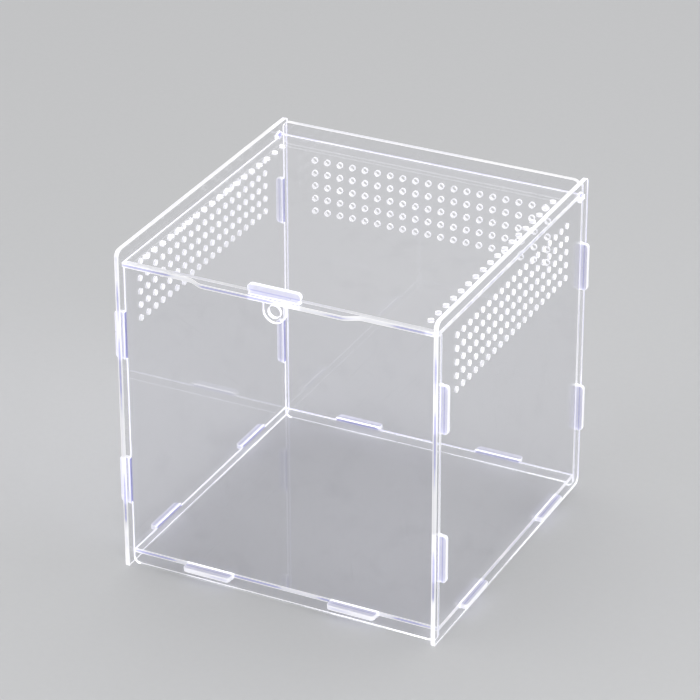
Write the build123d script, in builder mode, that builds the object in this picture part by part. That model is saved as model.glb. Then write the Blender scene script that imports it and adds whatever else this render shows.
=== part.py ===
from build123d import *
import os

# Clear box for insects and small reptiles, cut from flat acrylic sheet.
# The walls and the floor hold each other by tabs in slots, and the lid turns on two ears at the rear.
# Millimetres, +Z up. The origin is the middle of the surface that the box stands on.
# The front is at -Y and the left side is at -X.

# Overall size
box_width = 200.0
box_depth = 207.0
box_height = 205.0
sheet = 2.8

# Where the sheets stand
wall_recess = 4.8
floor_height = 6.4
lid_below_rim = 7.3

# Rounded corners of the sheets
side_corner = 4.5
side_rear_top_corner = 2.8
side_front_foot_corner = 1.0
wall_foot_corner = 4.0
back_top_corner = 4.0

# Tabs and slots
tab_length = 30.0
tab_reach_across = 4.0
tab_reach_along = 5.2
tab_corner = 2.0
slot_gap = 0.05
wall_tab_spread = 94.6
floor_tab_across = 46.5
floor_tab_along = 54.0

# Breathing holes of the side and back panels, placed by the middle of each field
vent_radius = 1.65
vent_pitch = 8.42
vent_columns = 19
vent_rows = 5
side_vent_along = -2.0
side_vent_below_rim = 35.8
back_vent_across = 0.0
back_vent_below_rim = 40.7

# Lid
lid_side_gap = 0.6
lid_overhang = 2.9
swelling_reach = 4.2
swelling_half_width = 43.0
swelling_run = 11.0
lid_front_corner = 1.0
lid_vent_radius = 1.65
lid_vent_pitch = 9.8
lid_vent_count = 18
lid_vent_inset = 8.3
lid_vent_along = -4.8

# Hinge of the lid
ear_width = 5.0
ear_to_back_panel = 3.3
ear_proud = 1.5
hinge_hole_gap = 0.25

# Lock plate
lock_wall_gap = 0.9
lock_neck_width = 30.6
lock_head_width = 33.0
lock_head_height = 5.4
lock_head_corner = 2.6
lock_slot_end_gap = 0.4
lock_slot_face_gap = 0.15
lock_ring_radius = 7.1
lock_hole_radius = 3.8
lock_hole_below_lid = 6.3

# Sizes that follow from the ones above
inner_width = box_width - 2 * sheet
front_face = -box_depth / 2 + wall_recess
front_inner_face = front_face + sheet
back_face = box_depth / 2 - wall_recess
back_inner_face = back_face - sheet
front_middle = (front_face + front_inner_face) / 2
back_middle = (back_face + back_inner_face) / 2
floor_middle = floor_height + sheet / 2
lid_top = box_height - lid_below_rim
lid_height = lid_top - sheet
wall_tab_low = (box_height - wall_tab_spread) / 2
wall_tab_high = (box_height + wall_tab_spread) / 2
side_vent_height = box_height - side_vent_below_rim
back_vent_height = box_height - back_vent_below_rim
hinge_height = lid_height + sheet / 2
hinge_along = back_inner_face - ear_to_back_panel
ear_radius = ((ear_width / 2) ** 2 + (sheet / 2) ** 2) ** 0.5
hinge_hole_radius = ear_radius + hinge_hole_gap
lid_rear_edge = hinge_along + ear_width / 2
lid_front_edge = front_face - lid_overhang
lid_swelling_edge = lid_front_edge - swelling_reach
lid_half_width = inner_width / 2 - lid_side_gap
lid_vent_across = lid_half_width - lid_vent_inset
ear_end = box_width / 2 + ear_proud
lock_rear_face = front_face - lock_wall_gap
lock_middle = lock_rear_face - sheet / 2
lock_hole_height = lid_height - lock_hole_below_lid
head_middle = lid_top + lock_head_height / 2
slot_width = sheet + 2 * slot_gap
slot_length = tab_length + 2 * slot_gap
lock_slot_width = sheet + 2 * lock_slot_face_gap
lock_slot_length = lock_neck_width + 2 * lock_slot_end_gap


def side_panel_outline(sketch):
    """A side panel seen along X: its outline, slots, hinge hole and breathing holes."""
    with Locations((0, box_height / 2)):
        Rectangle(box_depth, box_height)
    corners = [
        (-box_depth / 2, 0, side_front_foot_corner),
        (-box_depth / 2, box_height, side_corner),
        (box_depth / 2, box_height, side_rear_top_corner),
        (box_depth / 2, 0, side_corner),
    ]
    for along, height, radius in corners:
        corner = sketch.vertices().sort_by_distance((along, height, 0))[0]
        fillet(corner, radius)
    upright_slots = [
        (front_middle, wall_tab_low),
        (front_middle, wall_tab_high),
        (back_middle, wall_tab_low),
        (back_middle, wall_tab_high),
    ]
    with Locations(*upright_slots):
        Rectangle(slot_width, slot_length, mode=Mode.SUBTRACT)
    with Locations((-floor_tab_along, floor_middle), (floor_tab_along, floor_middle)):
        Rectangle(slot_length, slot_width, mode=Mode.SUBTRACT)
    with Locations((hinge_along, hinge_height)):
        Circle(hinge_hole_radius, mode=Mode.SUBTRACT)
    with Locations((side_vent_along, side_vent_height)):
        with GridLocations(vent_pitch, vent_pitch, vent_columns, vent_rows):
            Circle(vent_radius, mode=Mode.SUBTRACT)


def wall_outline(height):
    """The front or back panel seen along Y: a sheet with two tabs on each side and two slots."""
    with Locations((0, height / 2)):
        outline = Rectangle(inner_width, height)
    feet = outline.vertices().group_by(Axis.Y)[0]
    fillet(feet, wall_foot_corner)
    with Locations((0, wall_tab_low), (0, wall_tab_high)):
        RectangleRounded(box_width + 2 * tab_reach_across, tab_length, tab_corner)
    with Locations((-floor_tab_across, floor_middle), (floor_tab_across, floor_middle)):
        Rectangle(slot_length, slot_width, mode=Mode.SUBTRACT)


# Left side panel
with BuildPart() as left_side_panel:
    with BuildSketch(Plane.YZ.offset(-box_width / 2)) as left_sketch:
        side_panel_outline(left_sketch)
    extrude(amount=sheet)

# Right side panel
with BuildPart() as right_side_panel:
    with BuildSketch(Plane.YZ.offset(box_width / 2 - sheet)) as right_sketch:
        side_panel_outline(right_sketch)
    extrude(amount=sheet)

# Front panel, as high as the underside of the lid
with BuildPart() as front_panel:
    with BuildSketch(Plane.XZ.offset(-front_inner_face)):
        wall_outline(lid_height)
    extrude(amount=sheet)

# Back panel, as high as the side panels, with breathing holes
with BuildPart() as back_panel:
    with BuildSketch(Plane.XZ.offset(-back_face)) as back_sketch:
        wall_outline(box_height)
        top_corners = back_sketch.vertices().group_by(Axis.Y)[-1]
        fillet(top_corners, back_top_corner)
        with Locations((back_vent_across, back_vent_height)):
            with GridLocations(vent_pitch, vent_pitch, vent_columns, vent_rows):
                Circle(vent_radius, mode=Mode.SUBTRACT)
    extrude(amount=sheet)

# Floor, with two tabs through each of the four walls
with BuildPart() as floor_panel:
    with BuildSketch(Plane.XY.offset(floor_height)):
        Rectangle(inner_width, back_inner_face - front_inner_face)
        with Locations((0, -floor_tab_along), (0, floor_tab_along)):
            RectangleRounded(box_width + 2 * tab_reach_across, tab_length, tab_corner)
        with Locations((-floor_tab_across, 0), (floor_tab_across, 0)):
            RectangleRounded(tab_length, back_face - front_face + 2 * tab_reach_along, tab_corner)
    extrude(amount=sheet)

# Lid, with the two ears that it turns on and the swelling that the lock plate goes through
swelling_start = swelling_half_width + swelling_run
with BuildPart() as lid:
    with BuildSketch(Plane.XY.offset(lid_height)) as lid_sketch:
        with BuildLine():
            Line((-lid_half_width, lid_rear_edge), (-lid_half_width, lid_front_edge))
            Line((-lid_half_width, lid_front_edge), (-swelling_start, lid_front_edge))
            Spline(
                (-swelling_start, lid_front_edge),
                (-swelling_half_width, lid_swelling_edge),
                tangents=((1, 0), (1, 0)),
            )
            Line((-swelling_half_width, lid_swelling_edge), (swelling_half_width, lid_swelling_edge))
            Spline(
                (swelling_half_width, lid_swelling_edge),
                (swelling_start, lid_front_edge),
                tangents=((1, 0), (1, 0)),
            )
            Line((swelling_start, lid_front_edge), (lid_half_width, lid_front_edge))
            Line((lid_half_width, lid_front_edge), (lid_half_width, lid_rear_edge))
            Line((lid_half_width, lid_rear_edge), (-lid_half_width, lid_rear_edge))
        make_face()
        for across in (-lid_half_width, lid_half_width):
            corner = lid_sketch.vertices().sort_by_distance((across, lid_front_edge, 0))[0]
            fillet(corner, lid_front_corner)
        with Locations((0, hinge_along)):
            Rectangle(2 * ear_end, ear_width)
        with Locations((0, lock_middle)):
            Rectangle(lock_slot_length, lock_slot_width, mode=Mode.SUBTRACT)
        with Locations((0, lid_vent_along)):
            with GridLocations(2 * lid_vent_across, lid_vent_pitch, 2, lid_vent_count):
                Circle(lid_vent_radius, mode=Mode.SUBTRACT)
    extrude(amount=sheet)

# Lock plate: a head that lies on the lid, a neck in its slot and a ring below it
with BuildPart() as lock_plate:
    with BuildSketch(Plane.XZ.offset(-lock_rear_face)):
        with Locations((0, head_middle)):
            RectangleRounded(lock_head_width, lock_head_height, lock_head_corner)
        with Locations((0, (lid_height + head_middle) / 2)):
            Rectangle(lock_neck_width, head_middle - lid_height)
        with Locations((0, (lid_height + lock_hole_height) / 2)):
            Rectangle(2 * lock_ring_radius, lid_height - lock_hole_height)
        with Locations((0, lock_hole_height)):
            Circle(lock_ring_radius)
            Circle(lock_hole_radius, mode=Mode.SUBTRACT)
    extrude(amount=sheet)

# Names and files
left_side_panel.part.label = "left_side_panel"
right_side_panel.part.label = "right_side_panel"
front_panel.part.label = "front_panel"
back_panel.part.label = "back_panel"
floor_panel.part.label = "floor_panel"
lid.part.label = "lid"
lock_plate.part.label = "lock_plate"

os.makedirs("parts", exist_ok=True)
pieces = [left_side_panel, right_side_panel, front_panel, back_panel, floor_panel, lid, lock_plate]
for piece in pieces:
    export_step(piece.part, "parts/" + piece.part.label + ".step")
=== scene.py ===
# %% [markdown]
# # A clear box for insects and small reptiles
#
# The real box is cut from flat acrylic sheet. Five sheets make the box, a sixth is the lid,
# and a small plate with a ring keeps the lid shut. Bare tabs go through slots, so there is
# no glue, screw or clip to model: the whole object is seven flat cuttings.
#
# The measured model is loaded first. It fixes where every cutting lies and how the lid moves,
# and each piece that is made below takes the place of one of its nodes.

# %% Load the measured model
import math

import bmesh
import bpy
from mathutils import Matrix, Vector


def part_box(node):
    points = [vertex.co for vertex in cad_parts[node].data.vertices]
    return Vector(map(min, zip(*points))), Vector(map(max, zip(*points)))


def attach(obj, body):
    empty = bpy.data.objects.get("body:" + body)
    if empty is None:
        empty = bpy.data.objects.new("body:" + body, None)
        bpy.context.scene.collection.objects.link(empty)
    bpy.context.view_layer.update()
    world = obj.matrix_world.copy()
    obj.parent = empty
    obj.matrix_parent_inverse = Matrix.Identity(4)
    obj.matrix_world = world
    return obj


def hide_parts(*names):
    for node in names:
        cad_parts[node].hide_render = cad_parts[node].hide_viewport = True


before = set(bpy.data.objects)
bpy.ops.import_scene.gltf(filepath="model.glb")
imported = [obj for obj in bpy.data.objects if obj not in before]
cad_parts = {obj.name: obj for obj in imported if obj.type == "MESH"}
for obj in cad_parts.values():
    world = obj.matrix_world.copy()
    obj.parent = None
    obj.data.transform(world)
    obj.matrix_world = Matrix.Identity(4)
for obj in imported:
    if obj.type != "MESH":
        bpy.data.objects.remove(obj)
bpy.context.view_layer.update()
print("nodes:", ", ".join(sorted(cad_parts)))

# %% [markdown]
# ## Sizes
#
# All sizes of the box are in millimetres, as on a cutting plan, and the finished cuttings are
# scaled to metres. The lamps and the camera are placed in metres. X goes to the right, Y to
# the back and Z up, with the origin in the middle of the surface that the box stands on.
#
# Two cuttings that press on each other never touch all over. A hair gap of a twentieth of a
# millimetre is left between them, because two clear surfaces in exactly the same place
# confuse a ray tracer and give dark speckles.

# %% Sizes of the box
MM = 0.001
WIDTH, DEPTH, HEIGHT = 200.0, 207.0, 205.0
SHEET = 2.8
HAIR = 0.05
WALL_RECESS = 4.8
LID_BELOW_RIM = 7.3

INNER_HALF = WIDTH / 2 - SHEET
FRONT_FACE = -DEPTH / 2 + WALL_RECESS
BACK_FACE = DEPTH / 2 - WALL_RECESS
FRONT_MIDDLE = FRONT_FACE + SHEET / 2
BACK_MIDDLE = BACK_FACE - SHEET / 2
FLOOR_UNDERSIDE = 6.4
FLOOR_MIDDLE = FLOOR_UNDERSIDE + SHEET / 2
LID_TOP = HEIGHT - LID_BELOW_RIM
LID_UNDERSIDE = LID_TOP - SHEET

TAB_LENGTH = 30.0
TAB_CORNER = 2.0
TAB_REACH_ACROSS = 4.0
TAB_REACH_ALONG = 5.2
TAB_END_ACROSS = WIDTH / 2 + TAB_REACH_ACROSS
TAB_END_ALONG = BACK_FACE + TAB_REACH_ALONG
UPRIGHT_TABS = (55.2, 149.8)
FLOOR_TABS_ACROSS = 46.5
FLOOR_TABS_ALONG = 54.0
SLOT = (SHEET + 2 * HAIR, TAB_LENGTH + 2 * HAIR)
print("inside width of the box:", round(2 * INNER_HALF, 2), "mm")

# %% [markdown]
# ## Drawing an outline
#
# A cutting plan is closed lines with rounded corners. Each corner is given as x, y and a
# radius, and the helper puts a short arc there. The arc touches both sides of the corner, so
# its middle lies on the line that halves the corner's angle. Lines with true arcs could come
# from a curve object as well, but plain points make the later filling step predictable.


# %% Closed lines with rounded corners
def rounded(corners):
    """A closed line through corners (x, y, radius), each rounded by an arc of that radius."""
    line = []
    count = len(corners)
    for i, (x, y, radius) in enumerate(corners):
        here = Vector((x, y))
        if radius <= 0:
            line.append(tuple(here))
            continue
        back = (Vector(corners[i - 1][:2]) - here).normalized()
        ahead = (Vector(corners[(i + 1) % count][:2]) - here).normalized()
        half = math.acos(max(-1.0, min(1.0, back.dot(ahead)))) / 2
        middle = here + (back + ahead).normalized() * radius / math.sin(half)
        first = here + back * radius / math.tan(half) - middle
        last = here + ahead * radius / math.tan(half) - middle
        turn = math.atan2(first.x * last.y - first.y * last.x, first.dot(last))
        steps = 3 + round(radius)
        for k in range(steps + 1):
            line.append(tuple(middle + Matrix.Rotation(turn * k / steps, 2) @ first))
    return line


def rectangle(x, y, width, height, radius=0.0):
    """A closed rectangle around (x, y)."""
    a, b = width / 2, height / 2
    corners = [(x - a, y - b), (x + a, y - b), (x + a, y + b), (x - a, y + b)]
    return rounded([(*corner, radius) for corner in corners])


def circle(x, y, radius, steps=32):
    """A closed circle around (x, y)."""
    return [
        (x + radius * math.cos(math.tau * k / steps), y + radius * math.sin(math.tau * k / steps))
        for k in range(steps)
    ]


print("a rounded tab has", len(rectangle(0, 0, 10, TAB_LENGTH, TAB_CORNER)), "points")

# %% [markdown]
# ## Finish: marks of handling
#
# Clear acrylic scratches easily. Even a clean box has fine hairlines that run in all
# directions and faint cloudy spots where fingers held it. All finishes below need these
# marks, so they are a shader node group: built once, placed in each material, with its own
# strength there.
#
# The hairlines are noise that is stretched sixty to a hundred times in one direction and cut
# off near its peaks. Three such layers at different angles look like random wiping. The
# smudges are slow noise. The group puts out two masks and leaves the shader itself to the
# material.


# %% A node group for hairlines and smudges
def link(tree, source, target):
    """Joins an output to an input."""
    tree.links.new(source, target)


def maths(tree, operation, a, b=None, clamp=False):
    """A Math node. a and b are sockets or numbers."""
    node = tree.nodes.new("ShaderNodeMath")
    node.operation = operation
    node.use_clamp = clamp
    for socket, value in zip(node.inputs, (a, b)):
        if value is None:
            continue
        if isinstance(value, bpy.types.NodeSocket):
            link(tree, value, socket)
        else:
            socket.default_value = value
    return node.outputs[0]


def noise(tree, vector, scale, detail=2.0, roughness=0.5):
    """A noise texture read at vector."""
    node = tree.nodes.new("ShaderNodeTexNoise")
    node.inputs["Scale"].default_value = scale
    node.inputs["Detail"].default_value = detail
    node.inputs["Roughness"].default_value = roughness
    link(tree, vector, node.inputs["Vector"])
    return node.outputs["Fac"]


def mapped(tree, vector, turn=(0, 0, 0), scale=(1, 1, 1)):
    """A Mapping node that turns and scales vector."""
    node = tree.nodes.new("ShaderNodeMapping")
    node.inputs["Rotation"].default_value = [math.radians(a) for a in turn]
    node.inputs["Scale"].default_value = scale
    link(tree, vector, node.inputs["Vector"])
    return node.outputs["Vector"]


def between(tree, value, low, high):
    """0 where value is under low, 1 where it is over high, and smooth between them."""
    node = tree.nodes.new("ShaderNodeMapRange")
    node.interpolation_type = "SMOOTHSTEP"
    node.inputs["From Min"].default_value = low
    node.inputs["From Max"].default_value = high
    link(tree, value, node.inputs["Value"])
    return node.outputs["Result"]


handling = bpy.data.node_groups.new("marks_of_handling", "ShaderNodeTree")
handling.interface.new_socket("Place", in_out="INPUT", socket_type="NodeSocketVector")
handling.interface.new_socket("Hairlines per metre", in_out="INPUT", socket_type="NodeSocketFloat")
handling.interface.new_socket("Hairlines", in_out="OUTPUT", socket_type="NodeSocketFloat")
handling.interface.new_socket("Smudges", in_out="OUTPUT", socket_type="NodeSocketFloat")
given = handling.nodes.new("NodeGroupInput")
result = handling.nodes.new("NodeGroupOutput")

spread = handling.nodes.new("ShaderNodeVectorMath")
spread.operation = "SCALE"
link(handling, given.outputs["Place"], spread.inputs["Vector"])
link(handling, given.outputs["Hairlines per metre"], spread.inputs["Scale"])
# The angle of each layer in degrees, and its scale along the hairlines
WIPING = ((24, 0.012), (-51, 0.016), (83, 0.010))
layers = []
for degrees, stretch in WIPING:
    along = mapped(handling, spread.outputs["Vector"], turn=(0, 0, degrees))
    streaks = mapped(handling, along, scale=(stretch, 1.0, 1.0))
    peaks = noise(handling, streaks, scale=1.0, detail=1.0)
    layers.append(between(handling, peaks, low=0.70, high=0.78))
lines = maths(handling, "MAXIMUM", maths(handling, "MAXIMUM", layers[0], layers[1]), layers[2])
slow = noise(handling, given.outputs["Place"], scale=21.0, detail=1.0)
patches = between(handling, slow, low=0.40, high=0.66)
link(handling, maths(handling, "MULTIPLY", lines, patches), result.inputs["Hairlines"])
cloudy = noise(handling, given.outputs["Place"], scale=38.0, detail=4.0, roughness=0.62)
link(handling, between(handling, cloudy, low=0.52, high=0.72), result.inputs["Smudges"])
print("node group:", handling.name, "with", len(handling.nodes), "nodes")

# %% [markdown]
# ## Finish: polished faces
#
# The faces are cast acrylic as it comes off the glass mould: clear, glossy and very slightly
# wavy. A Principled shader with full transmission and the refractive index of acrylic, 1.49,
# shows what lies behind, bent by the sheet's real thickness.
#
# A path tracer finds almost no light behind solid glass without caustics, and would give the
# box a black shadow. Rays that look for a lamp therefore meet a Transparent shader instead,
# which takes away the few percent that a real sheet reflects. Each piece stores where its
# points lay in the flat sheet, in an attribute called flat_place, so that marks lie in the
# plane of every sheet, whichever way it stands.

# %% Material of the polished faces
ACRYLIC_INDEX = 1.49
CLEAR, WORN = (0.985, 0.985, 1.0), (0.92, 0.92, 0.94)


def new_material(name):
    """An empty node material and its tree and output."""
    material = bpy.data.materials.new(name)
    material.use_nodes = True
    tree = material.node_tree
    tree.nodes.clear()
    return material, tree, tree.nodes.new("ShaderNodeOutputMaterial")


def flat_place(tree):
    """Where a point lay in the flat sheet, in metres. Z goes through the thickness."""
    node = tree.nodes.new("ShaderNodeAttribute")
    node.attribute_name = "flat_place"
    return node.outputs["Vector"]


def marks(tree, place, per_metre):
    """The group with the marks of handling, placed in a material."""
    node = tree.nodes.new("ShaderNodeGroup")
    node.node_tree = handling
    node.inputs["Hairlines per metre"].default_value = per_metre
    link(tree, place, node.inputs["Place"])
    return node.outputs["Hairlines"], node.outputs["Smudges"]


def weighted(tree, base, *pairs):
    """base plus the sum of value times weight, kept between 0 and 1."""
    total = base
    for value, weight in pairs:
        total = maths(tree, "ADD", maths(tree, "MULTIPLY", value, weight), total, clamp=True)
    return total


def blend(tree, factor, a, b):
    """A colour from a to b, each a colour or a socket. A Mix node's colours are 6 and 7, and 2 out."""
    node = tree.nodes.new("ShaderNodeMix")
    node.data_type = "RGBA"
    for socket, colour in ((node.inputs[6], a), (node.inputs[7], b)):
        if isinstance(colour, bpy.types.NodeSocket):
            link(tree, colour, socket)
        else:
            socket.default_value = (*colour, 1)
    link(tree, factor, node.inputs[0])
    return node.outputs[2]


polished, tree, out = new_material("polished_acrylic_face")
place = flat_place(tree)
hairlines, smudges = marks(tree, place, per_metre=900.0)
glass = tree.nodes.new("ShaderNodeBsdfPrincipled")
glass.inputs["IOR"].default_value = ACRYLIC_INDEX
glass.inputs["Transmission Weight"].default_value = 1.0
link(tree, weighted(tree, 0.004, (hairlines, 0.06), (smudges, 0.02)), glass.inputs["Roughness"])
worn = weighted(tree, 0.0, (smudges, 0.45), (hairlines, 1.0))
tint = blend(tree, worn, CLEAR, WORN)
link(tree, tint, glass.inputs["Base Color"])
waves = noise(tree, place, scale=9.0, detail=1.0)
bump = tree.nodes.new("ShaderNodeBump")
bump.inputs["Strength"].default_value = 0.12
bump.inputs["Distance"].default_value = 0.0002
scratched = maths(tree, "SUBTRACT", waves, maths(tree, "MULTIPLY", hairlines, 0.05))
link(tree, scratched, bump.inputs["Height"])
link(tree, bump.outputs["Normal"], glass.inputs["Normal"])

passing = tree.nodes.new("ShaderNodeBsdfTransparent")
passing.inputs["Color"].default_value = (0.95, 0.95, 0.965, 1)
ray = tree.nodes.new("ShaderNodeLightPath")
choice = tree.nodes.new("ShaderNodeMixShader")
link(tree, ray.outputs["Is Shadow Ray"], choice.inputs["Fac"])
link(tree, glass.outputs["BSDF"], choice.inputs[1])
link(tree, passing.outputs["BSDF"], choice.inputs[2])
link(tree, choice.outputs["Shader"], out.inputs["Surface"])
print("material:", polished.name)

# %% [markdown]
# ## Finish: cut edges
#
# The laser leaves an edge that looks quite different from the face. Light that enters the
# faces travels inside the sheet and comes out at the edges, so they look white with a lilac
# tint, and they are why this box can be seen at all. That light is painted into the edge's
# colour. Across the thickness, the edge is painted whitest at its two rims, as bright lines of
# light, and stays more lilac in the middle, and the laser leaves fine streaks that run straight
# through from face to face.
#
# The streaks are noise that barely changes along Z of flat_place, which is the thickness,
# and quickly along the other two directions. The same streaks drive the bump. A slow noise
# paints white stretches of light a few centimetres long, where more light arrives from inside.
# A tab's end is painted whiter than the long edges, because light leaves it on three sides.
# So are edges that face sideways, up or down, painted with the light that comes in from
# there, and those that face the front or back stay lilac. Each piece stores in tab_root how
# far from its middle its tabs begin, and in turned how far each face is turned to the side,
# the front and the top.
#
# The walls of the round holes are painted whiter still, for the light that reaches them from
# all round, so one function makes both materials. Tracing light through metres of sheet would
# need very many samples, and a faint emission, a painted glow, stands for the share that
# arrives that way. It is much stronger where an edge is seen from inside its own sheet, which
# Geometry's Backfacing tells, and most of all where a long edge lies level: those are the
# bright lines along the foot and the top of each wall.

# %% Materials of the cut edges and of the hole walls
PAINTED_EDGE_LIGHT = (0.98, 0.98, 1.0)
WHITE_GLOW = (0.42, 0.42, 0.43)
LEVEL_GLOW = (0.58, 0.58, 0.59)


def past_root(tree, place):
    """How far a point lies beyond the root of its tab, in metres. It is under 0 on the sheet."""
    root = tree.nodes.new("ShaderNodeAttribute")
    root.attribute_name = "tab_root"
    mirrored = tree.nodes.new("ShaderNodeVectorMath")
    mirrored.operation = "ABSOLUTE"
    link(tree, place, mirrored.inputs[0])
    beyond = tree.nodes.new("ShaderNodeVectorMath")
    beyond.operation = "SUBTRACT"
    link(tree, mirrored.outputs["Vector"], beyond.inputs[0])
    link(tree, root.outputs["Vector"], beyond.inputs[1])
    parts = tree.nodes.new("ShaderNodeSeparateXYZ")
    link(tree, beyond.outputs["Vector"], parts.inputs["Vector"])
    return maths(tree, "MAXIMUM", parts.outputs["X"], parts.outputs["Y"])


def edge_material(name, middle_colour, middle_glow, inner_glow, foot_glow):
    """A laser-cut edge, painted whitest with light at its rims, with middle_colour between them."""
    material, tree, out = new_material(name)
    material.cycles.emission_sampling = "NONE"
    place = flat_place(tree)
    hairlines = marks(tree, place, per_metre=1500.0)[0]
    across = mapped(tree, place, scale=(1, 1, 0.04))
    streaks = noise(tree, across, scale=1900.0, detail=2.0, roughness=0.6)
    through = tree.nodes.new("ShaderNodeSeparateXYZ")
    link(tree, place, through.inputs["Vector"])
    off_middle = maths(tree, "SUBTRACT", through.outputs["Z"], SHEET / 2 * MM)
    rim = between(tree, maths(tree, "ABSOLUTE", off_middle), 0.18 * SHEET * MM, 0.30 * SHEET * MM)
    slow = noise(tree, place, scale=21.0, detail=1.0)
    painted_light_stretches = between(tree, slow, low=0.46, high=0.55)
    on_tab = between(tree, past_root(tree, place), 0.8 * SHEET * MM, 1.1 * SHEET * MM)
    turned = tree.nodes.new("ShaderNodeAttribute")
    turned.attribute_name = "turned"
    ways = tree.nodes.new("ShaderNodeSeparateXYZ")
    link(tree, turned.outputs["Vector"], ways.inputs["Vector"])
    to_side, to_top = ways.outputs["X"], ways.outputs["Z"]
    # Painted light: the base colour is painted whiter at the rims, on tab ends, on edges that face the
    # side or the top, and in slow stretches, for light that leaves the sheet there. The streaks are
    # laser marks.
    steady_painted_light = weighted(tree, 0.0, (rim, 0.85), (on_tab, 0.45), (to_side, 0.40), (to_top, 0.40))
    painted_light_and_streaks = weighted(tree, steady_painted_light, (streaks, 0.30), (painted_light_stretches, 0.70))
    edge = tree.nodes.new("ShaderNodeBsdfPrincipled")
    edge.inputs["IOR"].default_value = ACRYLIC_INDEX
    edge.inputs["Transmission Weight"].default_value = 0.25
    colour = blend(tree, painted_light_and_streaks, middle_colour, PAINTED_EDGE_LIGHT)
    link(tree, colour, edge.inputs["Base Color"])
    # Painted glow: an emission that stands for light carried inside the sheets, strongest on level
    # edges seen from inside.
    seen = tree.nodes.new("ShaderNodeNewGeometry")
    dim = [middle_glow * value for value in middle_colour]
    outside_glow = blend(tree, painted_light_and_streaks, dim, WHITE_GLOW)
    outside_glow = blend(tree, to_top, outside_glow, LEVEL_GLOW)
    inside_glow = blend(tree, to_top, inner_glow, foot_glow)
    glow = blend(tree, seen.outputs["Backfacing"], outside_glow, inside_glow)
    link(tree, glow, edge.inputs["Emission Color"])
    edge.inputs["Emission Strength"].default_value = 0.55
    link(tree, weighted(tree, 0.22, (streaks, 0.22), (hairlines, 0.2)), edge.inputs["Roughness"])
    bump = tree.nodes.new("ShaderNodeBump")
    bump.inputs["Strength"].default_value = 0.5
    bump.inputs["Distance"].default_value = 0.00005
    link(tree, streaks, bump.inputs["Height"])
    link(tree, bump.outputs["Normal"], edge.inputs["Normal"])
    link(tree, edge.outputs["BSDF"], out.inputs["Surface"])
    print("material:", name)
    return material


cut_edge = edge_material(
    "laser_cut_edge",
    middle_colour=(0.48, 0.48, 0.78),
    middle_glow=0.2,
    inner_glow=(0.85, 0.85, 0.97),
    foot_glow=(1.9, 1.9, 1.95),
)
# The hole walls' pale middle colour is painted light, for the light that reaches them from all round.
hole_wall = edge_material(
    "hole_wall",
    middle_colour=(0.88, 0.88, 0.96),
    middle_glow=0.38,
    inner_glow=(0.58, 0.58, 0.62),
    foot_glow=(0.58, 0.58, 0.62),
)

# %% [markdown]
# ## Finish: tabs milky with painted light
#
# A tab end is only a few millimetres across, with a bright cut edge on three sides. The light
# from these edges fills it, so tabs, the lid's ears and the small lock plate look milky, while
# the large faces stay clear. Following every ray of that would take thousands of samples. A
# Principled shader that is part transparent, part white, and rather rough gives the same look
# at once: the white is painted light, and a faint emission adds a painted glow.
#
# The part of a tab that sits in its slot looks more lilac than the part that stands out,
# because the slot's own cut walls shade it. Measured from the root, there is first the
# thickness of the wall, then the end that shows, with a lilac streak near its middle, 4.6 mm
# from the root.

# %% Material of the tab ends
STREAK_FROM_ROOT = 4.6
TAB_PAINTED_LIGHT, LILAC = (0.88, 0.88, 0.95), (0.40, 0.40, 0.72)

painted_light_tab, tree, out = new_material("painted_light_tab_face")
painted_light_tab.cycles.emission_sampling = "NONE"
place = flat_place(tree)
hairlines = marks(tree, place, per_metre=1500.0)[0]
cloud = noise(tree, place, scale=420.0, detail=3.0)
depth = past_root(tree, place)
outside = between(tree, depth, 0.85 * SHEET * MM, 1.05 * SHEET * MM)
in_slot = maths(tree, "SUBTRACT", 1.0, outside)
from_streak = maths(tree, "ABSOLUTE", maths(tree, "SUBTRACT", depth, STREAK_FROM_ROOT * MM))
streak = maths(tree, "SUBTRACT", 1.0, between(tree, from_streak, 0.2 * MM, 0.6 * MM))
# Painted shade of the slot walls on the part in the slot, plus a lilac streak and a random cloudy
# tone.
lilac = weighted(tree, 0.0, (in_slot, 0.75), (streak, 0.5), (cloud, 0.2))
body = tree.nodes.new("ShaderNodeBsdfPrincipled")
body.inputs["IOR"].default_value = ACRYLIC_INDEX
body.inputs["Transmission Weight"].default_value = 0.3
# The milky white is painted light from the tab's cut edges, and the faint emission is a painted glow.
colour = blend(tree, lilac, TAB_PAINTED_LIGHT, LILAC)
link(tree, colour, body.inputs["Base Color"])
link(tree, colour, body.inputs["Emission Color"])
body.inputs["Emission Strength"].default_value = 0.06
link(tree, weighted(tree, 0.24, (cloud, 0.12), (hairlines, 0.25)), body.inputs["Roughness"])
bump = tree.nodes.new("ShaderNodeBump")
bump.inputs["Strength"].default_value = 0.25
bump.inputs["Distance"].default_value = 0.00005
link(tree, cloud, bump.inputs["Height"])
link(tree, bump.outputs["Normal"], body.inputs["Normal"])
link(tree, body.outputs["BSDF"], out.inputs["Surface"])
print("material:", painted_light_tab.name)

# %% [markdown]
# ## One rule for every cutting
#
# A laser-cut sheet follows a rule: closed lines, a field of round holes, and one thickness.
# A Geometry Nodes tree states that rule once, and all seven cuttings use it with their own
# values. The steps are those of the cutter: draw the outline, lay out the holes, fill what
# is left, give it its thickness, and tell cut walls from polished faces by which faces the
# extrusion made at the side. A wall face that is one radius from the middle of a hole
# belongs to that hole.
#
# Fill Curve leaves out whatever lies inside an inner line, so holes need no boolean. That is
# much faster and cleaner than cutting 95 cylinders out of a plate. Tab ends are drawn as
# lines of their own, marked by an attribute, and filled separately, so that they can have
# their own finish, milky with painted light. Where they meet the sheet, both have the same two
# points, and merging welds them into one piece.

# %% The tree that cuts a sheet
HOLE_RADIUS = 1.65
HOLE_MARGIN = 1.05
WELD = 0.001


def group_input(tree, name, kind, value=None):
    """A named input of a node tree."""
    socket = tree.interface.new_socket(name, in_out="INPUT", socket_type=kind)
    if value is not None:
        socket.default_value = value
    return socket


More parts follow.
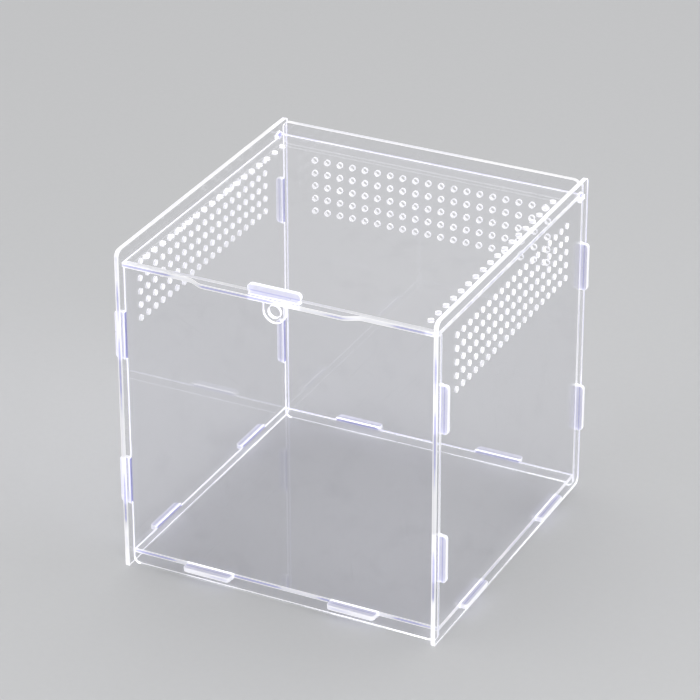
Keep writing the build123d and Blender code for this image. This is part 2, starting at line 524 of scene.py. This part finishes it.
cutter = bpy.data.node_groups.new("cut_from_sheet", "GeometryNodeTree")
group_input(cutter, "Drawing", "NodeSocketGeometry")
group_input(cutter, "Thickness", "NodeSocketFloat", SHEET)
group_input(cutter, "Holes across", "NodeSocketInt", 0)
group_input(cutter, "Holes along", "NodeSocketInt", 0)
group_input(cutter, "Field width", "NodeSocketFloat", 0.0)
group_input(cutter, "Field height", "NodeSocketFloat", 0.0)
group_input(cutter, "Field middle", "NodeSocketVector")
group_input(cutter, "Hole radius", "NodeSocketFloat", HOLE_RADIUS)
group_input(cutter, "Face finish", "NodeSocketMaterial")
group_input(cutter, "Tab finish", "NodeSocketMaterial")
group_input(cutter, "Edge finish", "NodeSocketMaterial")
group_input(cutter, "Hole finish", "NodeSocketMaterial")
cutter.interface.new_socket("Cutting", in_out="OUTPUT", socket_type="NodeSocketGeometry")
given = cutter.nodes.new("NodeGroupInput").outputs
result = cutter.nodes.new("NodeGroupOutput")


def step(kind, **values):
    """A node of the cutting tree. Each value is a number or the output that feeds the input."""
    node = cutter.nodes.new(kind)
    for name, value in values.items():
        socket = node.inputs[name.replace("_", " ")]
        if isinstance(value, bpy.types.NodeSocket):
            link(cutter, value, socket)
        else:
            socket.default_value = value
    return node


is_tab = step("GeometryNodeInputNamedAttribute", Name="tab")
is_tab.data_type = "BOOLEAN"
zones = cutter.nodes.new("GeometryNodeSeparateGeometry")
link(cutter, given["Drawing"], zones.inputs["Geometry"])
link(cutter, is_tab.outputs["Attribute"], zones.inputs["Selection"])
tab_lines = step("GeometryNodeMeshToCurve", Mesh=zones.outputs["Selection"])
outline = step("GeometryNodeMeshToCurve", Mesh=zones.outputs["Inverted"])
field = step(
    "GeometryNodeMeshGrid",
    Size_X=given["Field width"],
    Size_Y=given["Field height"],
    Vertices_X=given["Holes across"],
    Vertices_Y=given["Holes along"],
)
placed_field = step(
    "GeometryNodeTransform", Geometry=field.outputs["Mesh"], Translation=given["Field middle"]
)
hole = step("GeometryNodeCurvePrimitiveCircle", Resolution=20, Radius=given["Hole radius"])
holes = step(
    "GeometryNodeInstanceOnPoints",
    Points=placed_field.outputs["Geometry"],
    Instance=hole.outputs["Curve"],
)
hole_lines = step("GeometryNodeRealizeInstances", Geometry=holes.outputs["Instances"])
lines = cutter.nodes.new("GeometryNodeJoinGeometry")
link(cutter, outline.outputs["Curve"], lines.inputs["Geometry"])
link(cutter, hole_lines.outputs["Geometry"], lines.inputs["Geometry"])
sheet_fill = step("GeometryNodeFillCurve", Curve=lines.outputs["Geometry"])
sheet_fill.mode = "NGONS"
sheet_face = step(
    "GeometryNodeSetMaterial", Geometry=sheet_fill.outputs["Mesh"], Material=given["Face finish"]
)
tab_fill = step("GeometryNodeFillCurve", Curve=tab_lines.outputs["Curve"])
tab_fill.mode = "NGONS"
tab_face = step(
    "GeometryNodeSetMaterial", Geometry=tab_fill.outputs["Mesh"], Material=given["Tab finish"]
)
both = cutter.nodes.new("GeometryNodeJoinGeometry")
link(cutter, sheet_face.outputs["Geometry"], both.inputs["Geometry"])
link(cutter, tab_face.outputs["Geometry"], both.inputs["Geometry"])
flat_sheet = step("GeometryNodeMergeByDistance", Geometry=both.outputs["Geometry"], Distance=WELD)
thick = step(
    "GeometryNodeExtrudeMesh",
    Mesh=flat_sheet.outputs["Geometry"],
    Offset_Scale=given["Thickness"],
    Individual=False,
)
walls = step(
    "GeometryNodeSetMaterial",
    Geometry=thick.outputs["Mesh"],
    Selection=thick.outputs["Side"],
    Material=given["Edge finish"],
)
here = step("ShaderNodeSeparateXYZ", Vector=step("GeometryNodeInputPosition").outputs["Position"])
in_plane = step("ShaderNodeCombineXYZ", X=here.outputs["X"], Y=here.outputs["Y"])
to_hole = cutter.nodes.new("GeometryNodeProximity")
to_hole.target_element = "POINTS"
link(cutter, placed_field.outputs["Geometry"], to_hole.inputs["Geometry"])
link(cutter, in_plane.outputs["Vector"], to_hole.inputs["Sample Position"])
reach = maths(cutter, "MULTIPLY", given["Hole radius"], HOLE_MARGIN)
in_hole = maths(cutter, "LESS_THAN", to_hole.outputs["Distance"], reach)
has_holes = maths(cutter, "GREATER_THAN", given["Holes across"], 0.5)
at_hole = maths(cutter, "MULTIPLY", in_hole, has_holes)
hole_side = maths(cutter, "MULTIPLY", at_hole, thick.outputs["Side"])
hole_walls = step(
    "GeometryNodeSetMaterial",
    Geometry=walls.outputs["Geometry"],
    Selection=hole_side,
    Material=given["Hole finish"],
)
underside = step("GeometryNodeFlipFaces", Mesh=flat_sheet.outputs["Geometry"])
closed = cutter.nodes.new("GeometryNodeJoinGeometry")
link(cutter, hole_walls.outputs["Geometry"], closed.inputs["Geometry"])
link(cutter, underside.outputs["Mesh"], closed.inputs["Geometry"])
welded = step("GeometryNodeMergeByDistance", Geometry=closed.outputs["Geometry"], Distance=WELD)
plain = step("GeometryNodeRealizeInstances", Geometry=welded.outputs["Geometry"])
link(cutter, plain.outputs["Geometry"], result.inputs["Cutting"])
print("geometry tree:", cutter.name, "with", len(cutter.nodes), "nodes")

# %% [markdown]
# ## From drawing to piece
#
# The drawing is a mesh of lines only. The tree turns it into a cutting, and a Bevel modifier
# breaks every sharp rim by about a fifth of a millimetre, because a real rim is never
# perfectly sharp and this narrow band is what catches the light. The result is copied to a
# plain mesh. Then flat_place and tab_root are stored, the cutting is stood up where it
# belongs, the way its faces are turned is stored, and it takes over from its measured node.

# %% Make one cutting and stand it up
FLAT = ((1, 0, 0), (0, 1, 0), (0, 0, 1))
FACING_FRONT = ((1, 0, 0), (0, 0, 1), (0, -1, 0))
FACING_SIDE = ((0, 1, 0), (0, 0, 1), (1, 0, 0))
ARRIS = 0.22
NO_TAB = 999.0


def plain_mesh(thing):
    """The mesh of an object with its modifiers worked out."""
    seen = thing.evaluated_get(bpy.context.evaluated_depsgraph_get())
    return bpy.data.meshes.new_from_object(seen)


def new_object(name, mesh):
    """An object in the scene."""
    thing = bpy.data.objects.new(name, mesh)
    bpy.context.scene.collection.objects.link(thing)
    return thing


def draw_plan(name, lines, tabs):
    """A mesh of closed lines only. Those of tab ends are marked by the attribute tab."""
    points, edges, marked = [], [], []
    for line, tab in [(line, False) for line in lines] + [(line, True) for line in tabs]:
        first = len(points)
        points += [(x, y, 0.0) for x, y in line]
        edges += [(first + i, first + (i + 1) % len(line)) for i in range(len(line))]
        marked += [tab] * len(line)
    plan = bpy.data.meshes.new(name)
    plan.from_pydata(points, edges, [])
    plan.attributes.new("tab", "BOOLEAN", "POINT").data.foreach_set("value", marked)
    return plan


def cut_sheet(node, lines, tabs, holes):
    """The flat cutting, in millimetres, with its rims broken."""
    sketch = new_object(node + "_plan", draw_plan(node + "_plan", lines, tabs))
    cut = sketch.modifiers.new("cut_from_sheet", "NODES")
    cut.node_group = cutter
    values = {
        "Face finish": polished,
        "Tab finish": painted_light_tab,
        "Edge finish": cut_edge,
        "Hole finish": hole_wall,
        **holes,
    }
    for socket in cutter.interface.items_tree:
        if socket.in_out == "INPUT" and socket.name in values:
            cut[socket.identifier] = values[socket.name]
    sharp = plain_mesh(sketch)
    bpy.data.objects.remove(sketch)

    blank = new_object(node + "_blank", sharp)
    rim = blank.modifiers.new("arris", "BEVEL")
    rim.width = ARRIS
    rim.segments = 1
    rim.limit_method = "ANGLE"
    rim.angle_limit = math.radians(50)
    rim.material = sharp.materials.find(cut_edge.name)
    rim.use_clamp_overlap = False
    mesh = plain_mesh(blank)
    bpy.data.objects.remove(blank)
    return mesh


def make_cutting(node, body, axes, start, lines, tabs=(), holes=None, root=(NO_TAB, NO_TAB)):
    """Cuts a sheet, stands it up where it belongs and lets it replace a measured node."""
    mesh = cut_sheet(node, lines, tabs, holes or {})
    mesh.name = node + "_cutting"
    mesh.transform(Matrix.Scale(MM, 4))
    flat = mesh.attributes.new("flat_place", "FLOAT_VECTOR", "POINT")
    flat.data.foreach_set("vector", [value for v in mesh.vertices for value in v.co])
    begins = mesh.attributes.new("tab_root", "FLOAT_VECTOR", "POINT")
    begins.data.foreach_set("vector", [root[0] * MM, root[1] * MM, 0.0] * len(mesh.vertices))
    turn = Matrix(axes).transposed().to_4x4()
    mesh.transform(Matrix.Translation(Vector(start) * MM) @ turn)
    turned = mesh.attributes.new("turned", "FLOAT_VECTOR", "FACE")
    turned.data.foreach_set("vector", [abs(value) for face in mesh.polygons for value in face.normal])
    mesh.polygons.foreach_set("use_smooth", [True] * len(mesh.polygons))
    mesh.set_sharp_from_angle(angle=math.radians(30))
    piece = new_object(node + "_sheet", mesh)
    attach(piece, body)
    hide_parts(node)
    report_piece(piece, node)
    return piece


def report_piece(piece, node):
    """Prints how a piece compares with the node that it replaces."""
    low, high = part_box(node)
    corners = [v.co for v in piece.data.vertices]
    worst = 0.0
    for axis in range(3):
        worst = max(worst, abs(min(c[axis] for c in corners) - low[axis]))
        worst = max(worst, abs(max(c[axis] for c in corners) - high[axis]))
    work = bmesh.new()
    work.from_mesh(piece.data)
    open_edges = sum(1 for e in work.edges if len(e.link_faces) != 2)
    volume = work.calc_volume(signed=True) * 1e6
    work.free()
    print(
        f"{piece.name}: {len(piece.data.polygons)} faces, {volume:.1f} cm3, open edges {open_edges},"
        f" finishes {[m.name for m in piece.data.materials]},"
        f" box within {worst * 1000:.2f} mm of the node"
    )


print("bevel:", ARRIS, "mm")

# %% [markdown]
# ## Side panels
#
# The two side panels are the same cutting, and they stand the full height. Each has four
# upright slots for the front and back panels, two lying slots for the floor, the hole that
# the lid's ear turns in, and a field of 19 by 5 breathing holes. The drawing is seen along
# X, with the depth of the box from left to right.
#
# The hinge hole is drawn with 36 points. Where the filling step joins a hole to the outline it
# can leave a sliver that the bevel folds over, and this number of points leaves none.

# %% Side panels
EAR_HALF = 2.5
EAR_TO_BACK_PANEL = 3.3
EAR_PLAY = 0.25
HINGE_ALONG = BACK_FACE - SHEET - EAR_TO_BACK_PANEL
HINGE_HEIGHT = LID_UNDERSIDE + SHEET / 2
HINGE_HOLE = math.hypot(EAR_HALF, SHEET / 2) + EAR_PLAY
FOOT_CORNER, WIDE_CORNER, REAR_TOP_CORNER = 1.0, 4.5, 2.8
PITCH = 8.42
COLUMNS, ROWS = 19, 5
SIDE_FIELD = (-2.0, HEIGHT - 35.8)


def hole_field(across, along, pitch_across, pitch_along, middle):
    """Values of the cutting tree for a field of round holes."""
    return {
        "Holes across": across,
        "Holes along": along,
        "Field width": pitch_across * (across - 1),
        "Field height": pitch_along * (along - 1),
        "Field middle": (middle[0], middle[1], 0.0),
        "Hole radius": HOLE_RADIUS,
    }


half_depth = DEPTH / 2
side_plan = [
    rounded([
        (-half_depth, 0, FOOT_CORNER),
        (half_depth, 0, WIDE_CORNER),
        (half_depth, HEIGHT, REAR_TOP_CORNER),
        (-half_depth, HEIGHT, WIDE_CORNER),
    ]),
    circle(HINGE_ALONG, HINGE_HEIGHT, HINGE_HOLE, steps=36),
]
for along in (FRONT_MIDDLE, BACK_MIDDLE):
    for height in UPRIGHT_TABS:
        side_plan.append(rectangle(along, height, SLOT[0], SLOT[1]))
for along in (-FLOOR_TABS_ALONG, FLOOR_TABS_ALONG):
    side_plan.append(rectangle(along, FLOOR_MIDDLE, SLOT[1], SLOT[0]))
side_holes = hole_field(COLUMNS, ROWS, PITCH, PITCH, SIDE_FIELD)
for node, low_x in (("left_side_panel", -WIDTH / 2), ("right_side_panel", INNER_HALF)):
    make_cutting(node, "box", FACING_SIDE, (low_x, 0, 0), side_plan, holes=side_holes)

# %% [markdown]
# ## Front and back panels
#
# Both stand between the side panels and reach through them with two tabs on each side. The
# back panel is as high as the sides and has breathing holes. The front panel ends under the
# lid. One helper draws both, up the right side and down the left.

# %% Front and back panels
WALL_CORNER = 4.0
BACK_FIELD = (0.0, HEIGHT - 40.7)


def tab_end(root_low, root_high, reach):
    """The closed line of a tab end. It runs between two root points and reaches out by a vector."""
    (x0, y0), (x1, y1), (dx, dy) = root_low, root_high, reach
    first = (x0 + dx, y0 + dy, TAB_CORNER)
    second = (x1 + dx, y1 + dy, TAB_CORNER)
    return rounded([(x0, y0, 0), first, second, (x1, y1, 0)])


def wall_plan(height, top_corner):
    """The closed lines of a wall: its outline and two slots for the floor, and its four tab ends."""
    half = INNER_HALF - HAIR
    reach = TAB_END_ACROSS - half
    right, tabs = [(half, 0, WALL_CORNER)], []
    for middle in UPRIGHT_TABS:
        low, high = middle - TAB_LENGTH / 2, middle + TAB_LENGTH / 2
        right += [(half, low, 0), (half, high, 0)]
        tabs.append(tab_end((half, low), (half, high), (reach, 0)))
        tabs.append(tab_end((-half, high), (-half, low), (-reach, 0)))
    right.append((half, height, top_corner))
    left = [(-x, y, radius) for x, y, radius in reversed(right)]
    lines = [rounded(right + left)]
    for across in (-FLOOR_TABS_ACROSS, FLOOR_TABS_ACROSS):
        lines.append(rectangle(across, FLOOR_MIDDLE, SLOT[1], SLOT[0]))
    return lines, tabs


front_lines, front_tabs = wall_plan(LID_UNDERSIDE - HAIR, 0)
back_lines, back_tabs = wall_plan(HEIGHT, WALL_CORNER)
back_holes = hole_field(COLUMNS, ROWS, PITCH, PITCH, BACK_FIELD)
root = (INNER_HALF, NO_TAB)
place = (0, FRONT_FACE + SHEET, 0)
make_cutting("front_panel", "box", FACING_FRONT, place, front_lines, front_tabs, root=root)
place = (0, BACK_FACE, 0)
make_cutting("back_panel", "box", FACING_FRONT, place, back_lines, back_tabs, back_holes, root)

# %% [markdown]
# ## Floor
#
# The floor lies 6.4 mm above the bottom edges and holds all four walls together, with two
# tabs through each of them. Its drawing is seen from above.

# %% Floor
half_x, half_y = INNER_HALF - HAIR, BACK_FACE - SHEET - HAIR
half_tab = TAB_LENGTH / 2
edge_right, edge_back, floor_tabs = [], [], []
for along in (-FLOOR_TABS_ALONG, FLOOR_TABS_ALONG):
    low, high = (half_x, along - half_tab), (half_x, along + half_tab)
    edge_right += [(*low, 0), (*high, 0)]
    floor_tabs.append(tab_end(low, high, (TAB_END_ACROSS - half_x, 0)))
for across in (FLOOR_TABS_ACROSS, -FLOOR_TABS_ACROSS):
    low, high = (across + half_tab, half_y), (across - half_tab, half_y)
    edge_back += [(*low, 0), (*high, 0)]
    floor_tabs.append(tab_end(low, high, (0, TAB_END_ALONG - half_y)))
floor_tabs += [[(-x, -y) for x, y in line] for line in floor_tabs]
first_half = [(half_x, -half_y, 0)] + edge_right + [(half_x, half_y, 0)] + edge_back
floor_outline = first_half + [(-x, -y, radius) for x, y, radius in first_half]
floor_lines = [rounded(floor_outline)]
root = (INNER_HALF, BACK_FACE - SHEET)
place = (0, 0, FLOOR_UNDERSIDE)
make_cutting("floor_panel", "box", FLAT, place, floor_lines, floor_tabs, root=root)

# %% [markdown]
# ## Lid
#
# The lid lies between the side panels. Two ears at the rear turn in their round holes. At the
# middle of the front its edge swells out by 4.2 mm, so that there is room for the slot of the
# lock plate. The swelling starts and ends level, which a smooth step between two heights
# gives. One row of 18 holes runs along each side.

# %% Lid
LID_PLAY, LID_OVERHANG, LID_CORNER = 0.6, 2.9, 1.0
LID_HALF = INNER_HALF - LID_PLAY
LID_FRONT = FRONT_FACE - LID_OVERHANG
SWELLING = 4.2
SWELLING_FRONT = LID_FRONT - SWELLING
SWELLING_FULL, SWELLING_START = 43.0, 54.0
LOCK_GAP = 0.9
LOCK_REAR = FRONT_FACE - LOCK_GAP
LOCK_SLOT = (31.4, SHEET + 0.3)
EAR_REACH = 1.5
EAR_END = WIDTH / 2 + EAR_REACH
VENTS_IN_ROW = 18
VENTS_FROM_EDGE = 8.3
VENT_PITCH = 9.8
VENTS_ALONG = -4.8


def swelling_side(start, end, low, high, steps=14):
    """Points of the smooth step between two straight stretches of the lid's front edge."""
    points = []
    for k in range(steps + 1):
        t = k / steps
        points.append((start + (end - start) * t, low + (high - low) * t * t * (3 - 2 * t), 0))
    return points


lid_rear = HINGE_ALONG + EAR_HALF
ear_front = HINGE_ALONG - EAR_HALF
lid_outline = [(-LID_HALF, LID_FRONT, LID_CORNER)]
lid_outline += swelling_side(-SWELLING_START, -SWELLING_FULL, LID_FRONT, SWELLING_FRONT)
lid_outline += swelling_side(SWELLING_FULL, SWELLING_START, SWELLING_FRONT, LID_FRONT)
lid_outline += [
    (LID_HALF, LID_FRONT, LID_CORNER),
    (LID_HALF, ear_front, 0),
    (LID_HALF, lid_rear, 0),
    (-LID_HALF, lid_rear, 0),
    (-LID_HALF, ear_front, 0),
]
ears = []
for side in (1, -1):
    root, end = side * LID_HALF, side * EAR_END
    ears.append([(root, ear_front), (end, ear_front), (end, lid_rear), (root, lid_rear)])
lid_plan = [rounded(lid_outline), rectangle(0, LOCK_REAR - SHEET / 2, *LOCK_SLOT)]
row_distance = 2 * (LID_HALF - VENTS_FROM_EDGE)
lid_holes = hole_field(2, VENTS_IN_ROW, row_distance, VENT_PITCH, (0.0, VENTS_ALONG))
place = (0, 0, LID_UNDERSIDE)
make_cutting("lid", "lid", FLAT, place, lid_plan, ears, lid_holes, (INNER_HALF, NO_TAB))

# %% [markdown]
# ## Lock plate
#
# A small upright plate in the lid's slot. Its rounded head lies on the lid, its neck fills
# the slot, and below hangs a ring for a padlock or a pin. The head is painted as milky with
# light as a tab end. The ring is clear between its two round edges, so it is drawn as a line
# of its own, and both share the two points where they meet. The plate's tab_root is the height
# of the lid's underside, where its part with painted light begins.

# %% Lock plate
RING, RING_HOLE = 7.1, 3.8
RING_BELOW_LID = 6.3
RING_HEIGHT = LID_UNDERSIDE - RING_BELOW_LID
RING_STEPS = 24
HEAD_HEIGHT = 5.4
HEAD_LOW = LID_TOP + HAIR
HEAD_HIGH = LID_TOP + HEAD_HEIGHT
HEAD_CORNER = 2.6
NECK_HALF, HEAD_HALF = 15.3, 16.5
SHOULDER_STEPS = 5

corner_x = HEAD_HALF - HEAD_CORNER
corner_y = HEAD_LOW + HEAD_CORNER
start_angle = -math.acos((NECK_HALF - corner_x) / HEAD_CORNER)
right = [(RING, LID_UNDERSIDE, 0), (NECK_HALF, LID_UNDERSIDE, 0)]
for k in range(SHOULDER_STEPS + 1):
    angle = start_angle * (1 - k / SHOULDER_STEPS)
    x = corner_x + HEAD_CORNER * math.cos(angle)
    right.append((x, corner_y + HEAD_CORNER * math.sin(angle), 0))
right.append((HEAD_HALF, HEAD_HIGH, HEAD_CORNER))
left = [(-x, y, radius) for x, y, radius in reversed(right)]
ring = [(-RING, LID_UNDERSIDE, 0)]
for k in range(RING_STEPS + 1):
    angle = math.pi * k / RING_STEPS
    ring.append((-RING * math.cos(angle), RING_HEIGHT - RING * math.sin(angle), 0))
ring.append((RING, LID_UNDERSIDE, 0))
ring_plan = [rounded(ring), circle(0, RING_HEIGHT, RING_HOLE)]
head_plan = [rounded(right + left)]
root = (NO_TAB, LID_UNDERSIDE)
place = (0, LOCK_REAR, 0)
make_cutting("lock_plate", "lock_plate", FACING_FRONT, place, ring_plan, head_plan, root=root)

# %% [markdown]
# ## Floor of the studio and light
#
# The box stands on a plain pale surface that is large enough to fill the picture. The world
# is even and pale, so the sheets mirror nothing that distracts. Two large soft lamps stand low,
# one in front and one to the right, because the cut edges that face the camera are upright and
# would be dull under light from above. They stand where no sheet mirrors them into the camera,
# and rays that have passed through a sheet don't see them, because their light has come
# through the sheets already, along the rays that look for a lamp.

# %% Floor, world and lamps
TABLE_RADIUS = 14.0
TABLE_DARK, TABLE_LIGHT = (0.655, 0.66, 0.67), (0.675, 0.68, 0.69)
WORLD_STRENGTH = 0.75
LAMP_SIZE = 1.0
LAMP_TARGET = Vector((0, 0, 0.1))
LAMPS = (
    ("front_lamp", Vector((0.2, -2.1, 0.75)), 8.0),
    ("side_lamp", Vector((1.9, -0.4, 0.7)), 12.0),
)

pale, tree, out = new_material("pale_table")
coordinates = tree.nodes.new("ShaderNodeTexCoord")
surface = tree.nodes.new("ShaderNodeBsdfPrincipled")
grain = noise(tree, coordinates.outputs["Object"], scale=240.0, detail=3.0)
link(tree, blend(tree, grain, TABLE_DARK, TABLE_LIGHT), surface.inputs["Base Color"])
surface.inputs["Roughness"].default_value = 0.8
surface.inputs["Specular IOR Level"].default_value = 0.1
link(tree, surface.outputs["BSDF"], out.inputs["Surface"])

table_mesh = bpy.data.meshes.new("table")
work = bmesh.new()
bmesh.ops.create_circle(work, cap_ends=True, segments=96, radius=TABLE_RADIUS)
work.to_mesh(table_mesh)
work.free()
table_mesh.materials.append(pale)
table = bpy.data.objects.new("table", table_mesh)
bpy.context.scene.collection.objects.link(table)

world = bpy.data.worlds.new("even_light")
bpy.context.scene.world = world
world.use_nodes = True
tree = world.node_tree
tree.nodes.clear()
out = tree.nodes.new("ShaderNodeOutputWorld")
lighting = tree.nodes.new("ShaderNodeBackground")
lighting.inputs["Color"].default_value = (1, 1, 1, 1)
lighting.inputs["Strength"].default_value = WORLD_STRENGTH
link(tree, lighting.outputs["Background"], out.inputs["Surface"])

for name, place, power in LAMPS:
    lamp = bpy.data.lights.new(name, "AREA")
    lamp.shape = "SQUARE"
    lamp.size = LAMP_SIZE
    lamp.energy = power
    holder = bpy.data.objects.new(name, lamp)
    bpy.context.scene.collection.objects.link(holder)
    holder.visible_transmission = False
    turn = (LAMP_TARGET - place).to_track_quat("-Z", "Y").to_matrix().to_4x4()
    holder.matrix_world = Matrix.Translation(place) @ turn
    print(name, "at", [round(value, 2) for value in place], "with", power, "W")

# %% [markdown]
# ## Camera
#
# The camera's place and lens were worked out from the corners of the box in the photograph.
# It looks 26.4 degrees to the left of straight back and 27.8 degrees down, from almost two
# metres away with a long lens, so the box shows little perspective.

# %% Camera
CAMERA_PLACE = (0.77204, -1.56283, 1.03617)
TURN, TILT, ROLL = (math.radians(a) for a in (26.416, 90 - 27.809, -0.139))

camera_data = bpy.data.cameras.new("camera")
camera_data.sensor_width = 36.0
camera_data.lens = 174.0
camera_data.clip_end = 60.0
camera = bpy.data.objects.new("camera", camera_data)
bpy.context.scene.collection.objects.link(camera)
camera.matrix_world = (
    Matrix.Translation(CAMERA_PLACE)
    @ Matrix.Rotation(TURN, 4, "Z")
    @ Matrix.Rotation(TILT, 4, "X")
    @ Matrix.Rotation(ROLL, 4, "Z")
)
bpy.context.scene.camera = camera
bpy.context.scene.view_settings.view_transform = "Standard"
